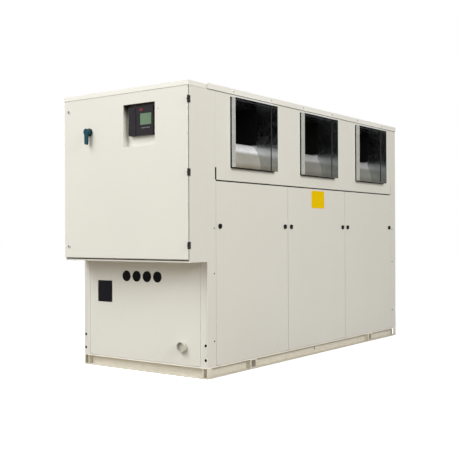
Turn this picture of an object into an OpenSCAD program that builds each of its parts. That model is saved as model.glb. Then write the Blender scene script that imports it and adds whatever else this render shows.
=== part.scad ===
// Packaged air cooled water chiller: a sheet steel cabinet on a channel skid, three centrifugal
// fans that blow out of one long side, and an electrical cabinet with a hinged door on one end.
// +X runs along the cabinet away from the control end, the fans blow towards -Y, +Z is up.
// The origin is on the floor, in the middle of the skid.

/* [Cabinet] */
// Length of the cabinet, without the control box
unit_l = 3040; // [3000:10:3400]
// Width of the cabinet
unit_w = 1216; // [1200:2:1400]
// Height from the floor to the top of the roof
unit_h = 2060; // [2040:5:2200]
// Thickness of the folded sheet
sheet_t = 2; // [1.5:0.25:3]
// Width of a corner post on the long sides
post_long = 100; // [80:1:115]
// Width of a corner post on the ends
post_end = 60; // [50:1:75]
// Inward fold along the free edges of a post
post_lip = 25; // [15:1:30]
// Diameter of the bolt holes at the foot of a post
post_bolt_d = 14; // [8:1:18]
// Distance of those bolt holes from the corner
post_bolt_in = 16; // [12:1:25]
// Height of the lower bolt hole over the skid
post_bolt_low = 52; // [30:1:70]
// Distance between the two bolt holes of a post
post_bolt_pitch = 102; // [60:1:140]
// Depth of the folded panel trays
panel_d = 25; // [20:1:30]
// Gap round each lift-off panel
panel_gap = 4; // [2:0.5:6]
// Fitting gap beside a panel that is screwed on
fit_gap = 0.6; // [0.3:0.1:0.9]
// Height of the seam between the fan panel and the service panels
split_z = 1388; // [1340:2:1410]
// Open height of that seam
split_gap = 10; // [6:1:14]
// Half height of the angles behind the seam
mid_rail_h = 30; // [20:1:40]
// Inward leg of those angles
mid_rail_d = 40; // [25:1:60]
// Height of the open notch at each lower corner of the fan panel
notch_h = 86; // [40:2:100]
// Width of that notch
notch_w = 5; // [3:0.5:8]
// Height of the roof's turned-down edge
roof_lip_h = 40; // [30:1:50]
// How far the roof's edge stands out from the walls
roof_out = 5; // [4:0.5:10]
// Clear height between the roof sheet and the panels under it
roof_clear = 12; // [8:1:18]

/* [Skid] */
// Height of the channel skid
base_h = 80; // [70:1:100]
// Width of a channel flange
rail_w = 45; // [40:1:60]
// Thickness of a channel web
rail_web = 6; // [5:0.5:9]
// Thickness of a channel flange
rail_flange = 8; // [6:0.5:10]
// Distance of each lifting tube from the middle
lift_x = 960; // [700:10:1200]
// Width of a lifting tube
lift_w = 85; // [70:1:110]
// Side wall of a lifting tube
lift_wall = 16; // [5:0.5:20]
// Top and bottom wall of a lifting tube
lift_floor = 6; // [3:0.5:8]
// Width of the plates that close the long channels at the corners
corner_plate_w = 50; // [40:1:80]
// Thickness of those plates
corner_plate_t = 6; // [4:1:10]
// Distance of the anchor holes from the ends of the skid
anchor_in = 120; // [90:5:300]
// Diameter of an anchor hole
anchor_d = 18; // [12:1:22]
// Diameter of the hole in the middle of each long channel
drain_d = 16; // [10:1:24]

/* [Fans] */
// Distance between fan centres
fan_pitch = 960; // [930:5:1000]
// Width of a fan outlet
outlet_w = 560; // [500:5:600]
// Height of a fan outlet
outlet_h = 505; // [480:5:520]
// Distance from the top of the roof to the top of an outlet
outlet_drop = 65; // [60:1:80]
// Sheet of the outlet sleeves and the fan housings
fan_sheet = 2; // [1.5:0.25:3]
// How far a sleeve stands out of the fan panel
sleeve_out = 42; // [20:1:70]
// Width of the sleeve's flange behind the panel
sleeve_flange = 20; // [12:1:25]
// Depth from the panel's face to the fan housing
throat_d = 158; // [120:2:180]
// Radius of the rounded cut-off sheet
cutoff_r = 180; // [150:2:190]
// Flat strip on top of the cut-off
cutoff_flat = 20; // [10:1:30]
// Outer radius of the fan wheel
wheel_r = 228; // [215:1:232]
// Width of the fan wheel
wheel_w = 470; // [400:5:480]
// Radial height of a blade
blade_h = 38; // [25:1:45]
// Thickness of a blade
blade_t = 2; // [1.5:0.5:3]
// Number of blades
blade_n = 36; // [20:1:40]
// Forward lean of a blade's tip, in degrees
blade_lean = 9; // [4:0.5:10]
// Thickness of the wheel's end rings and centre plate
wheel_plate = 4; // [3:0.5:6]
// Radial width of an end ring
wheel_ring_w = 14; // [8:1:20]
// Clearance between the hub's bore and the shaft, on the radius
hub_clear = 0.2; // [0.1:0.05:0.3]
// Clearance between the wheel and the cut-off
cutoff_gap = 20; // [12:1:25]
// Radius of the scroll over the wheel's centre
scroll_r = 420; // [400:2:430]
// Inner radius of an inlet ring
inlet_r = 188; // [170:1:195]
// Rounding of an inlet ring
inlet_round = 28; // [15:1:30]
// Running gap between an inlet ring and the wheel
inlet_gap = 7; // [6:0.5:12]
// Diameter of the fan shaft
shaft_d = 35; // [25:1:45]
// Running clearance of the shaft in its bearings, on the radius
shaft_clear = 0.05; // [0.02:0.01:0.1]
// Diameter of the wheel's hub
hub_d = 90; // [70:1:120]
// Length of the wheel's hub
hub_l = 80; // [50:1:120]
// Outer diameter of a bearing
bearing_d = 72; // [60:1:90]
// Length of a bearing
bearing_l = 40; // [25:1:60]
// Width of a bearing bracket's arms
arm_w = 34; // [20:1:45]
// Thickness of a bearing bracket's arms
arm_t = 6; // [4:1:10]

/* [Service panels] */
// Height of the foot strip under a panel
foot_h = 4; // [2:0.5:8]
// Diameter of a panel knob
knob_d = 37; // [28:1:45]
// How far a knob stands out
knob_out = 16; // [10:1:22]
// Distance of a knob from the panel's edge
knob_in = 46; // [30:1:70]
// Height of the knobs over the floor
knob_z = 1065; // [900:5:1250]

/* [Coil] */
// Depth of the condenser coil
coil_d = 100; // [70:2:110]
// Border of the coil's frame
coil_border = 35; // [25:1:50]
// How far the coil lies behind the frame's face
coil_recess = 14; // [6:1:20]

/* [Control end] */
// How much narrower than the cabinet the control box is
box_narrow = 6; // [0:1:40]
// Depth of the control box without its door
box_d = 195; // [150:1:260]
// Height of the control box's underside
box_z = 816; // [780:2:900]
// Width of the rim round the control box's opening
box_rim = 25; // [18:1:32]
// Distance from the roof's top down to the cap's top
cap_drop = 9; // [6:1:20]
// Height of the cap's turned-down edge
cap_lip_h = 28; // [20:1:40]
// How far the cap's edge stands out
cap_out = 2.5; // [2.5:0.5:10]
// Gap between the closed door and the box
door_gap = 5; // [5:0.5:8]
// Depth of the door tray
door_d = 8; // [6:1:25]
// Side gap between the door's edge and the box's edge
door_side = 2; // [1:0.5:6]
// Gap between the door's top and the cap's edge
door_top_gap = 6; // [5:0.5:12]
// Height of the strip of box that shows under the door
door_bottom_gap = 22; // [10:1:40]
// Width and height of the pocket in the door
pocket_s = 300; // [260:2:320]
// Depth of the pocket
pocket_d = 50; // [35:1:60]
// Distance of the pocket's middle from the hinge side
pocket_y = 446; // [380:2:600]
// Distance from the door's top down to the pocket's middle
pocket_drop = 233; // [200:1:600]
// Width of the display unit
display_w = 234; // [216:2:250]
// Height of the display unit
display_h = 205; // [150:1:220]
// Depth of the display unit
display_d = 30; // [20:1:34]
// Corner radius of the display unit
display_r = 14; // [5:1:20]
// Distance from the pocket's middle to the display unit's, sideways
display_dy = 0; // [-15:1:15]
// Distance from the pocket's middle up to the display unit's
display_dz = 28; // [-25:1:30]
// Width of the screen
screen_w = 107; // [70:1:110]
// Height of the screen
screen_h = 82; // [50:1:100]
// Distance from the display unit's middle to the screen's, towards the hinges
screen_dy = 48; // [40:1:50]
// Distance from the display unit's middle up to the screen's
screen_dz = 12; // [-10:1:25]
// Distance from the display unit's middle to its upright groove, away from the hinges
groove_dy = 45; // [35:1:70]
// Thickness of the mounting plate in the control box
mount_plate_t = 3; // [2:0.5:5]
// Distance of the mounting plate from the back wall
mount_plate_off = 22; // [15:1:40]
// Border left free round the mounting plate
mount_plate_in = 60; // [40:5:120]
// Height of a hinge
hinge_h = 49; // [40:1:90]
// Knuckle diameter of a hinge
hinge_d = 16; // [12:1:20]
// Diameter of a hinge pin
hinge_pin_d = 6; // [4:0.5:8]
// How far a hinge's axis stands out of the door's face
hinge_out = 5; // [-8:1:8]
// Distance of the outer hinges from the door's top and bottom
hinge_end = 95; // [60:1:200]
// Thickness of a hinge leaf
hinge_t = 3; // [2:0.5:4]
// Length of a hinge leaf on the box's side
hinge_leaf = 12; // [8:1:30]
// Clearance of a hinge pin, on the radius
hinge_clear = 0.1; // [0.05:0.05:0.2]
// Diameter of the isolator's round plate
isolator_d = 58; // [52:1:80]
// Thickness of that plate
isolator_t = 10; // [8:1:14]
// Distance of the isolator from the hinge side
isolator_y = 938; // [800:2:1080]
// Distance from the door's top down to the isolator
isolator_drop = 251; // [150:1:600]
// Diameter of the handle's hub
handle_d = 48; // [40:1:52]
// Depth of the handle's hub
handle_out = 32; // [24:1:45]
// Length of the handle's lever from the axis
lever_l = 94; // [70:1:120]
// Width of the lever
lever_w = 33; // [20:1:38]
// Diameter of the handle's spindle
spindle_d = 14; // [10:1:18]
// Diameter of a door lock
lock_d = 26; // [18:1:32]
// Distance of the locks from the door's free edge
lock_in = 46; // [30:1:70]
// Distance of the locks from the door's top and bottom
lock_end = 82; // [50:1:140]
// Diameter of a cable entry
entry_d = 80; // [50:1:86]
// Distance between cable entries
entry_pitch = 102; // [90:1:110]
// Distance of the cable entries from the cabinet's middle
entry_y = 5; // [-60:1:120]
// Height of the cable entries
entry_z = 699; // [600:1:750]
// Outer diameter of the water pipe's end
pipe_d = 76; // [60:1:90]
// Step down from the pipe's end to the pipe inside the cabinet, on the radius
pipe_step = 3; // [2:0.5:5]
// Wall of the pipe inside the cabinet
pipe_wall = 3; // [2.5:0.1:5]
// How far the pipe stands out of the end panel
pipe_out = 32; // [24:1:60]
// Distance of the pipe's middle from the fan side's plane
pipe_edge = 221; // [160:1:400]
// Height of the pipe
pipe_z = 212; // [160:1:320]

/* [Hidden] */
$fn = 48;
fans = 3;
bays = 3;
x0 = -unit_l / 2;
x1 = unit_l / 2;
y0 = -unit_w / 2;
y1 = unit_w / 2;
roof_under = unit_h - sheet_t;
eps = 1;

// Panels
bay_l = (unit_l - 2 * post_long) / bays;
panel_z = base_h + foot_h;
panel_top = split_z - split_gap / 2;
upper_z = split_z + split_gap / 2;
upper_top = roof_under - roof_clear;
upper_l = unit_l - 2 * post_long - 2 * fit_gap;
end_w = unit_w - 2 * post_end - 2 * panel_gap;
pan_gap = 2;
foot_in = 60;
foot_t = 12;
foot_back = 6;
steel = [0.88, 0.87, 0.83];
dark = [0.12, 0.12, 0.13];
zinc = [0.70, 0.72, 0.74];

// Fans
outlet_top = unit_h - outlet_drop;
outlet_z = outlet_top - outlet_h;
fan_y = y0 + throat_d;
half_sheet = fan_sheet / 2;
fan_floor = outlet_z + half_sheet;
fan_ceiling = outlet_top - half_sheet;
scroll_start = wheel_r + cutoff_gap + half_sheet;
scroll_end = scroll_r;
axis_z = fan_ceiling - scroll_end;
cutoff_d = cutoff_r + half_sheet;
lip_d = cutoff_d + cutoff_flat;
lip_z = fan_floor + cutoff_r;
lip_angle = asin((lip_z - axis_z) / scroll_start);
axis_d = lip_d + scroll_start * cos(lip_angle);
axis_y = fan_y + axis_d;
scroll_w = outlet_w - 2 * fan_sheet;
inlet_deep = (outlet_w - wheel_w) / 2 - inlet_gap;
shaft_l = outlet_w + 2 * bearing_l + 20;
hub_bore = shaft_d + 2 * hub_clear;
arm_n = 3;

// Control box
box_w = unit_w - box_narrow;
box_front = x0 - box_d;
door_back = box_front - door_gap;
door_face = door_back - door_d;
cap_top = unit_h - cap_drop;
cap_lip_z = cap_top - cap_lip_h;
box_top = cap_top - sheet_t;
box_y1 = y0 + box_w;
door_y0 = y0 + door_side;
door_y1 = box_y1 - door_side;
door_z0 = box_z + door_bottom_gap;
door_z1 = cap_lip_z - door_top_gap;
hinge_x = door_face - hinge_out;
hinge_y = y0 - hinge_d / 2;
hinge_gap = 0.5;
hinge_part = (hinge_h - 2 * hinge_gap) / 3;
hinge_zs = [door_z0 + hinge_end, (door_z0 + door_z1) / 2, door_z1 - hinge_end];
pocket_mid_y = y0 + pocket_y;
pocket_mid_z = door_z1 - pocket_drop;
pocket_floor = door_face + pocket_d;
display_y = pocket_mid_y + display_dy;
display_z = pocket_mid_z + display_dz;
display_face = pocket_floor - sheet_t - display_d;
groove_w = 5;
groove_deep = 4;
groove_y = display_y + groove_dy;
screen_y = display_y - screen_dy;
screen_z = display_z + screen_dz;
screen_t = 3;
isolator_mid_y = y0 + isolator_y;
isolator_mid_z = door_z1 - isolator_drop;
spindle_clear = 0.1;
seat_gap = 0.4;
lock_out = 6;
entry_rim = 6;
entry_rim_t = 4;
pipe_in = 110;
pipe_tail_d = pipe_d - 2 * pipe_step;
pipe_fit = 0.4;

// Helpers

function fan_x(i) = (i - (fans + 1) / 2) * fan_pitch;

// Unit tangent of a path at point i
function tangent(p, i) =
  let (a = p[max(i - 1, 0)], b = p[min(i + 1, len(p) - 1)])
  (b - a) / norm(b - a);

// The path moved sideways by d, to the left of its direction
function beside(p, d) = [for (i = [0:len(p) - 1]) let (t = tangent(p, i)) p[i] + d * [-t[1], t[0]]];

function backwards(p) = [for (i = [len(p) - 1:-1:0]) p[i]];

// A bent sheet of thickness t along a path
module bent_sheet(p, t) {
  polygon(concat(beside(p, t / 2), backwards(beside(p, -t / 2))));
}

// Draws in the Y-Z plane and extrudes along X, about the middle
module along_x(l) {
  rotate([90, 0, 90])
    linear_extrude(l, center = true)
      children();
}

// A cylinder along X that starts at x = 0
module rod_x(d, l) {
  rotate([0, 90, 0])
    cylinder(d = d, h = l);
}

// A rectangle with round corners, about its middle
module rounded_rectangle(w, h, r) {
  square([w - 2 * r, h], center = true);
  square([w, h - 2 * r], center = true);
  for (sx = [-1, 1], sy = [-1, 1])
    translate([sx * (w / 2 - r), sy * (h / 2 - r)])
      circle(r = r);
}

// A folded tray: its face lies in the X-Z plane and looks towards -Y
module tray(w, h) {
  difference() {
    cube([w, panel_d, h]);
    translate([sheet_t, sheet_t, sheet_t])
      cube([w - 2 * sheet_t, panel_d, h - 2 * sheet_t]);
  }
}

// A lift-off panel: a tray on a foot strip that stands on the skid
module footed_tray(w, h) {
  tray(w, h);
  translate([foot_in, foot_back, -foot_h])
    cube([w - 2 * foot_in, foot_t, foot_h]);
}

// Skid

module channel_outline() {
  polygon([
    [0, 0],
    [rail_w, 0],
    [rail_w, base_h],
    [0, base_h],
    [0, base_h - rail_flange],
    [rail_w - rail_web, base_h - rail_flange],
    [rail_w - rail_web, rail_flange],
    [0, rail_flange]
  ]);
}

module end_channel() {
  rotate([90, 0, 0])
    linear_extrude(unit_w - 2 * rail_w, center = true)
      channel_outline();
}

module long_rail() {
  difference() {
    translate([0, y0, 0])
      along_x(unit_l)
        channel_outline();
    for (s = [-1, 1]) {
      translate([s * lift_x - lift_w / 2 - fit_gap, y0 + rail_w - rail_web - eps, rail_flange])
        cube([lift_w + 2 * fit_gap, rail_web + 2 * eps, base_h - 2 * rail_flange]);
      translate([s * (unit_l / 2 - anchor_in), y0 + (rail_w - rail_web) / 2, -eps])
        cylinder(d = anchor_d, h = rail_flange + 2 * eps);
    }
    translate([0, y0 + rail_w - rail_web - eps, base_h / 2])
      rotate([-90, 0, 0])
        cylinder(d = drain_d, h = rail_web + 2 * eps);
  }
}

module base_rail_front() {
  color(steel)
    long_rail();
}

module base_rail_back() {
  color(steel)
    mirror([0, 1, 0])
      long_rail();
}

module base_rail_control_end() {
  color(steel)
    translate([x0, 0, 0])
      end_channel();
}

module base_rail_far_end() {
  color(steel)
    mirror([1, 0, 0])
      translate([x0, 0, 0])
        end_channel();
}

module base_cross_rail() {
  color(steel)
    translate([-rail_w / 2, 0, 0])
      end_channel();
}

module base_corner_plates() {
  color(steel)
    for (sx = [0, 1], sy = [0, 1])
      mirror([sx, 0, 0])
        mirror([0, sy, 0])
          translate([x0, y0, rail_flange])
            cube([corner_plate_w, corner_plate_t, base_h - 2 * rail_flange]);
}

// The sheet floor of the cabinet, on the end rails and the cross rail
module base_pan() {
  pan_l = unit_l - 2 * panel_d - 2 * pan_gap;
  pan_w = unit_w - 2 * post_end - 2 * pan_gap;
  color(zinc)
    translate([-pan_l / 2, -pan_w / 2, base_h])
      cube([pan_l, pan_w, sheet_t]);
}

module lifting_tubes() {
  tube_h = base_h - 2 * rail_flange;
  color(steel)
    for (s = [-1, 1])
      translate([s * lift_x, 0, base_h / 2])
        difference() {
          cube([lift_w, unit_w, tube_h], center = true);
          cube([lift_w - 2 * lift_wall, unit_w + 2 * eps, tube_h - 2 * lift_floor], center = true);
        }
}

// Cabinet

module post_outline() {
  polygon([
    [0, 0],
    [post_long, 0],
    [post_long, post_lip],
    [post_long - sheet_t, post_lip],
    [post_long - sheet_t, sheet_t],
    [sheet_t, sheet_t],
    [sheet_t, post_end - sheet_t],
    [post_lip, post_end - sheet_t],
    [post_lip, post_end],
    [0, post_end]
  ]);
}

module post(far, back) {
  color(steel)
    mirror([far, 0, 0])
      mirror([0, back, 0])
        translate([x0, y0, base_h])
          difference() {
            linear_extrude(roof_under - base_h)
              post_outline();
            for (k = [0, 1])
              translate([-eps, post_bolt_in, post_bolt_low + k * post_bolt_pitch])
                rod_x(post_bolt_d, sheet_t + 2 * eps);
          }
}

// An angle behind a seam: its upright leg backs the panels, its other leg runs inwards
module mid_rail_outline(up) {
  polygon([
    [0, -mid_rail_h],
    [mid_rail_d, -mid_rail_h],
    [mid_rail_d, sheet_t - mid_rail_h],
    [sheet_t, sheet_t - mid_rail_h],
    [sheet_t, up],
    [0, up]
  ]);
}

module mid_rails() {
  color(zinc) {
    translate([0, y0 + panel_d, split_z])
      along_x(upper_l)
        mid_rail_outline(mid_rail_h);
    mirror([0, 1, 0])
      translate([0, y0 + panel_d, split_z])
        along_x(upper_l)
          mid_rail_outline(split_gap / 2);
    mirror([1, 0, 0])
      translate([x0 + panel_d, 0, split_z])
        rotate([90, 0, 0])
          linear_extrude(unit_w - 2 * post_end - 2 * mid_rail_d, center = true)
            mid_rail_outline(mid_rail_h);
  }
}

module roof() {
  over_y = y1 + roof_out;
  over_x = x1 + roof_out;
  color(steel)
    difference() {
      translate([x0 - sheet_t, -over_y, unit_h - roof_lip_h])
        cube([over_x - x0 + sheet_t, 2 * over_y, roof_lip_h]);
      translate([x0, -over_y + sheet_t, unit_h - roof_lip_h - eps])
        cube([over_x - x0 - sheet_t, 2 * (over_y - sheet_t), roof_lip_h - sheet_t + eps]);
      translate([x0 - sheet_t - eps, -over_y - eps, unit_h - roof_lip_h - eps])
        cube([sheet_t + eps, 2 * (over_y + eps), cap_top - unit_h + roof_lip_h + eps]);
    }
}

module fan_panel() {
  cut_w = outlet_w + 2 * fit_gap;
  cut_h = outlet_h + 2 * fit_gap;
  color(steel)
    difference() {
      translate([-upper_l / 2, y0, upper_z])
        tray(upper_l, upper_top - upper_z);
      for (i = [1:fans])
        translate([fan_x(i) - cut_w / 2, y0 - eps, outlet_z - fit_gap])
          cube([cut_w, sheet_t + 2 * eps, cut_h]);
      for (s = [-1, 1])
        translate([s * upper_l / 2 - notch_w, y0 - eps, upper_z - eps])
          cube([2 * notch_w, panel_d + 2 * eps, notch_h + eps]);
    }
}

module service_panel(i) {
  color(steel)
    translate([x0 + post_long + (i - 1) * bay_l + panel_gap / 2, y0, panel_z])
      footed_tray(bay_l - panel_gap, panel_top - panel_z);
}

module service_panels_back() {
  for (i = [1:bays])
    rotate([0, 0, 180])
      service_panel(i);
}

module knob() {
  grip_w = 9;
  flange_t = 5;
  rotate([90, 0, 0])
    union() {
      cylinder(d = knob_d, h = flange_t);
      cylinder(d = knob_d * 0.6, h = knob_out - 3);
      translate([-grip_w / 2, -knob_d * 0.42, flange_t - eps])
        cube([grip_w, knob_d * 0.84, knob_out - flange_t + eps]);
    }
}

module panel_knobs() {
  color(dark)
    for (side = [0, 180], i = [0:bays - 1], s = [0, 1])
      rotate([0, 0, side])
        translate([x0 + post_long + (i + s) * bay_l + (1 - 2 * s) * knob_in, y0, knob_z])
          knob();
}

module end_panel_control() {
  color(steel)
    difference() {
      translate([x0, end_w / 2, panel_z])
        rotate([0, 0, -90])
          footed_tray(end_w, box_z - panel_gap - panel_z);
      for (k = [0:3])
        translate([x0 - eps, entry_y + (k - 1.5) * entry_pitch, entry_z])
          rod_x(entry_d - 2 * entry_rim, sheet_t + 2 * eps);
      translate([x0 - eps, y0 + pipe_edge, pipe_z])
        rod_x(pipe_tail_d + 2 * pipe_fit, sheet_t + 2 * eps);
    }
}

module end_panels_far() {
  color(steel) {
    translate([x1, -end_w / 2, panel_z])
      rotate([0, 0, 90])
        footed_tray(end_w, panel_top - panel_z);
    translate([x1, -unit_w / 2 + post_end + fit_gap, upper_z])
      rotate([0, 0, 90])
        tray(unit_w - 2 * post_end - 2 * fit_gap, upper_top - upper_z);
  }
}

// Condenser coil, in the back wall over the service panels

module coil_frame() {
  h = upper_top - upper_z;
  color(zinc)
    translate([0, y1 - coil_recess - coil_d, upper_z])
      difference() {
        translate([-upper_l / 2, 0, 0])
          cube([upper_l, coil_recess + coil_d, h]);
        translate([-upper_l / 2 + coil_border, -eps, coil_border])
          cube([upper_l - 2 * coil_border, coil_recess + coil_d + 2 * eps, h - 2 * coil_border]);
      }
}

module coil_block() {
  l = upper_l - 2 * coil_border - 2 * fit_gap;
  h = upper_top - upper_z - 2 * coil_border - fit_gap;
  color(dark)
    translate([-l / 2, y1 - coil_recess - coil_d, upper_z + coil_border])
      cube([l, coil_d, h]);
}

// Fans: each one stands at x = 0 here and is moved to its place

// The housing in depth and height: a rounded cut-off from the lower edge of the outlet, a flat lip,
// and the scroll round to the outlet's upper edge
scroll_first = 180 - lip_angle;
scroll_last = 450;
scroll_steps = 40;
cutoff_steps = 18;
function scroll_radius(k) = scroll_start + (scroll_end - scroll_start) * k / scroll_steps;
function scroll_angle(k) = scroll_first + (scroll_last - scroll_first) * k / scroll_steps;
scroll_path = concat(
  [[cutoff_d, lip_z]],
  [for (k = [0:scroll_steps])
    [axis_d, axis_z] + scroll_radius(k) * [cos(scroll_angle(k)), sin(scroll_angle(k))]],
  [[0, fan_ceiling]]
);
cutoff_edge = [for (k = [0:cutoff_steps - 1])
  let (a = 180 - 90 * k / cutoff_steps, r = cutoff_r - half_sheet)
  [cutoff_d, fan_floor] + r * [cos(a), sin(a)]];

module outlet_sleeve(i) {
  flange_w = outlet_w + 2 * sleeve_flange;
  flange_h = outlet_h + 2 * sleeve_flange;
  color(zinc)
    translate([fan_x(i), y0, outlet_z + outlet_h / 2])
      difference() {
        union() {
          translate([-outlet_w / 2, -sleeve_out, -outlet_h / 2])
            cube([outlet_w, sleeve_out + throat_d, outlet_h]);
          translate([-flange_w / 2, sheet_t, -flange_h / 2])
            cube([flange_w, fan_sheet, flange_h]);
        }
        translate([-outlet_w / 2 + fan_sheet, -sleeve_out - eps, -outlet_h / 2 + fan_sheet])
          cube([scroll_w, sleeve_out + throat_d + 2 * eps, outlet_h - 2 * fan_sheet]);
      }
}

// A quarter turn of sheet that bulges towards the outlet
module cutoff_outline() {
  translate([cutoff_d, fan_floor])
    intersection() {
      difference() {
        circle(r = cutoff_r + half_sheet);
        circle(r = cutoff_r - half_sheet);
      }
      translate([-2 * cutoff_r, 0])
        square([2 * cutoff_r + eps, 2 * cutoff_r]);
    }
}

module fan_scroll(i) {
  color(zinc)
    translate([fan_x(i), fan_y, 0])
      union() {
        along_x(scroll_w)
          cutoff_outline();
        along_x(scroll_w)
          bent_sheet(scroll_path, fan_sheet);
      }
}

// A side plate of the housing with its rounded inlet ring, outer face at x = 0, inside towards -X
module fan_side() {
  bell_path = concat(
    [for (a = [0:15:90])
      [inlet_r + inlet_round * (1 - sin(a)), half_sheet + inlet_round * (1 - cos(a))]],
    [[inlet_r, inlet_deep]]
  );
  translate([-fan_sheet / 2, 0, 0])
    along_x(fan_sheet)
      difference() {
        polygon(concat(cutoff_edge, beside(scroll_path, -half_sheet)));
        translate([axis_d, axis_z])
          circle(r = inlet_r + inlet_round);
      }
  translate([0, axis_d, axis_z])
    rotate([0, -90, 0])
      rotate_extrude()
        bent_sheet(bell_path, fan_sheet);
}

module fan_sides(i) {
  color(zinc)
    for (s = [0, 1])
      translate([fan_x(i), fan_y, 0])
        mirror([s, 0, 0])
          translate([outlet_w / 2, 0, 0])
            fan_side();
}

// A bearing on a three-armed bracket over an inlet ring, seated on the side plate's face at x = 0
module fan_bearing() {
  reach = inlet_r + inlet_round + 22;
  difference() {
    union() {
      for (k = [0:arm_n - 1])
        rotate([k * 360 / arm_n, 0, 0])
          translate([0, -arm_w / 2, 0])
            cube([arm_t, arm_w, reach]);
      rod_x(bearing_d, bearing_l);
    }
    translate([-eps, 0, 0])
      rod_x(shaft_d + 2 * shaft_clear, bearing_l + 2 * eps);
  }
}

module fan_bearings(i) {
  color(dark)
    for (s = [0, 1])
      translate([fan_x(i), axis_y, axis_z])
        mirror([s, 0, 0])
          translate([outlet_w / 2, 0, 0])
            fan_bearing();
}

// One forward-curved blade, drawn at the top of the wheel; its tip leans towards -Y
module blade_outline() {
  steps = 4;
  inner_r = wheel_r - blade_h;
  blade_path = [for (k = [0:steps])
    let (s = k / steps, r = inner_r + (blade_h - 0.3) * s, a = 90 + blade_lean * s * s)
    r * [cos(a), sin(a)]];
  bent_sheet(blade_path, blade_t);
}

module fan_wheel(i) {
  inner_r = wheel_r - blade_h;
  color(zinc)
    translate([fan_x(i), axis_y, axis_z])
      union() {
        along_x(wheel_w - wheel_plate)
          for (k = [0:blade_n - 1])
            rotate(k * 360 / blade_n)
              blade_outline();
        along_x(wheel_plate)
          difference() {
            circle(r = inner_r + blade_h / 2);
            circle(d = hub_bore);
          }
        for (s = [-1, 1])
          translate([s * (wheel_w - wheel_plate) / 2, 0, 0])
            along_x(wheel_plate)
              difference() {
                circle(r = wheel_r);
                circle(r = wheel_r - wheel_ring_w);
              }
        along_x(hub_l)
          difference() {
            circle(d = hub_d);
            circle(d = hub_bore);
          }
      }
}

module fan_shaft(i) {
  color(zinc)
    translate([fan_x(i), axis_y, axis_z])
      along_x(shaft_l)
        circle(d = shaft_d);
}

// Control box and its door

module control_box() {
  inner_w = box_w - 2 * sheet_t;
  inner_h = box_top - box_z - 2 * sheet_t;
  color(steel)
    translate([box_front, y0, box_z])
      difference() {
        cube([box_d, box_w, box_top - box_z]);
        translate([sheet_t, sheet_t, sheet_t])
          cube([box_d - 2 * sheet_t, inner_w, inner_h]);
        translate([-eps, box_rim, box_rim])
          cube([sheet_t + 2 * eps, box_w - 2 * box_rim, door_z1 - box_z - 2 * box_rim + door_top_gap]);
      }
}

module control_box_cap() {
  out_x = door_face - cap_out;
  color(steel)
    difference() {
      translate([out_x, y0 - cap_out, cap_lip_z])
        cube([x0 - sheet_t - out_x, box_w + 2 * cap_out, cap_lip_h]);
      translate([out_x + sheet_t, y0 - cap_out + sheet_t, cap_lip_z - eps])
        cube([x0 - out_x, box_w + 2 * cap_out - 2 * sheet_t, cap_lip_h - sheet_t + eps]);
    }
}

module mounting_plate() {
  plate_w = box_w - 2 * mount_plate_in;
  plate_h = box_top - box_z - 2 * mount_plate_in;
  stud_d = 12;
  stud_in = 30;
  back_x = x0 - sheet_t;
  color(zinc)
    translate([back_x - mount_plate_off, y0 + mount_plate_in, box_z + mount_plate_in])
      union() {
        translate([-mount_plate_t, 0, 0])
          cube([mount_plate_t, plate_w, plate_h]);
        for (y = [stud_in, plate_w - stud_in], z = [stud_in, plate_h - stud_in])
          translate([-eps, y, z])
            rod_x(stud_d, mount_plate_off + eps);
      }
}

module control_door() {
  door_w = door_y1 - door_y0;
  door_h = door_z1 - door_z0;
  pocket_out = pocket_s + 2 * sheet_t;
  color(steel)
    difference() {
      union() {
        difference() {
          translate([door_face, door_y0, door_z0])
            cube([door_d, door_w, door_h]);
          translate([door_face + sheet_t, door_y0 + sheet_t, door_z0 + sheet_t])
            cube([door_d, door_w - 2 * sheet_t, door_h - 2 * sheet_t]);
        }
        translate([door_face, pocket_mid_y - pocket_out / 2, pocket_mid_z - pocket_out / 2])
          cube([pocket_d, pocket_out, pocket_out]);
      }
      translate([door_face - eps, pocket_mid_y - pocket_s / 2, pocket_mid_z - pocket_s / 2])
        cube([pocket_d - sheet_t + eps, pocket_s, pocket_s]);
    }
}

module knuckle(z, h, d) {
  translate([hinge_x, hinge_y, z])
    cylinder(d = d, h = h);
}

// The leaf on the box's side wall, with the outer knuckles and the pin
module hinge_fixed(z) {
  low = z - hinge_h / 2;
  high = z + hinge_h / 2 - hinge_part;
  leaf_x = box_front;
  for (k = [low, high]) {
    knuckle(k, hinge_part, hinge_d);
    translate([hinge_x, y0 - hinge_t, k])
      cube([leaf_x + hinge_leaf - hinge_x, hinge_t, hinge_part]);
  }
  translate([leaf_x, y0 - hinge_t, low])
    cube([hinge_leaf, hinge_t, hinge_h]);
  knuckle(low, hinge_h, hinge_pin_d);
}

// The middle knuckle, with the block that holds it on the door's edge
module hinge_moving(z) {
  low = z - hinge_part / 2;
  difference() {
    union() {
      knuckle(low, hinge_part, hinge_d);
      translate([hinge_x - hinge_d / 4, hinge_y, low])
        cube([door_back - hinge_x + hinge_d / 4, door_y0 - hinge_y, hinge_part]);
    }
    knuckle(low - eps, hinge_part + 2 * eps, hinge_pin_d + 2 * hinge_clear);
  }
}

module door_hinges_fixed() {
  color(dark)
    for (z = hinge_zs)
      hinge_fixed(z);
}

module door_hinges_moving() {
  color(dark)
    for (z = hinge_zs)
      hinge_moving(z);
}

module door_locks() {
  color(zinc)
    for (z = [door_z0 + lock_end, door_z1 - lock_end])
      translate([door_face - lock_out, door_y1 - lock_in, z])
        difference() {
          rod_x(lock_d, lock_out);
          translate([-eps, -lock_d * 0.09, -lock_d * 0.3])
            cube([eps + 3, lock_d * 0.18, lock_d * 0.6]);
        }
}

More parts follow.
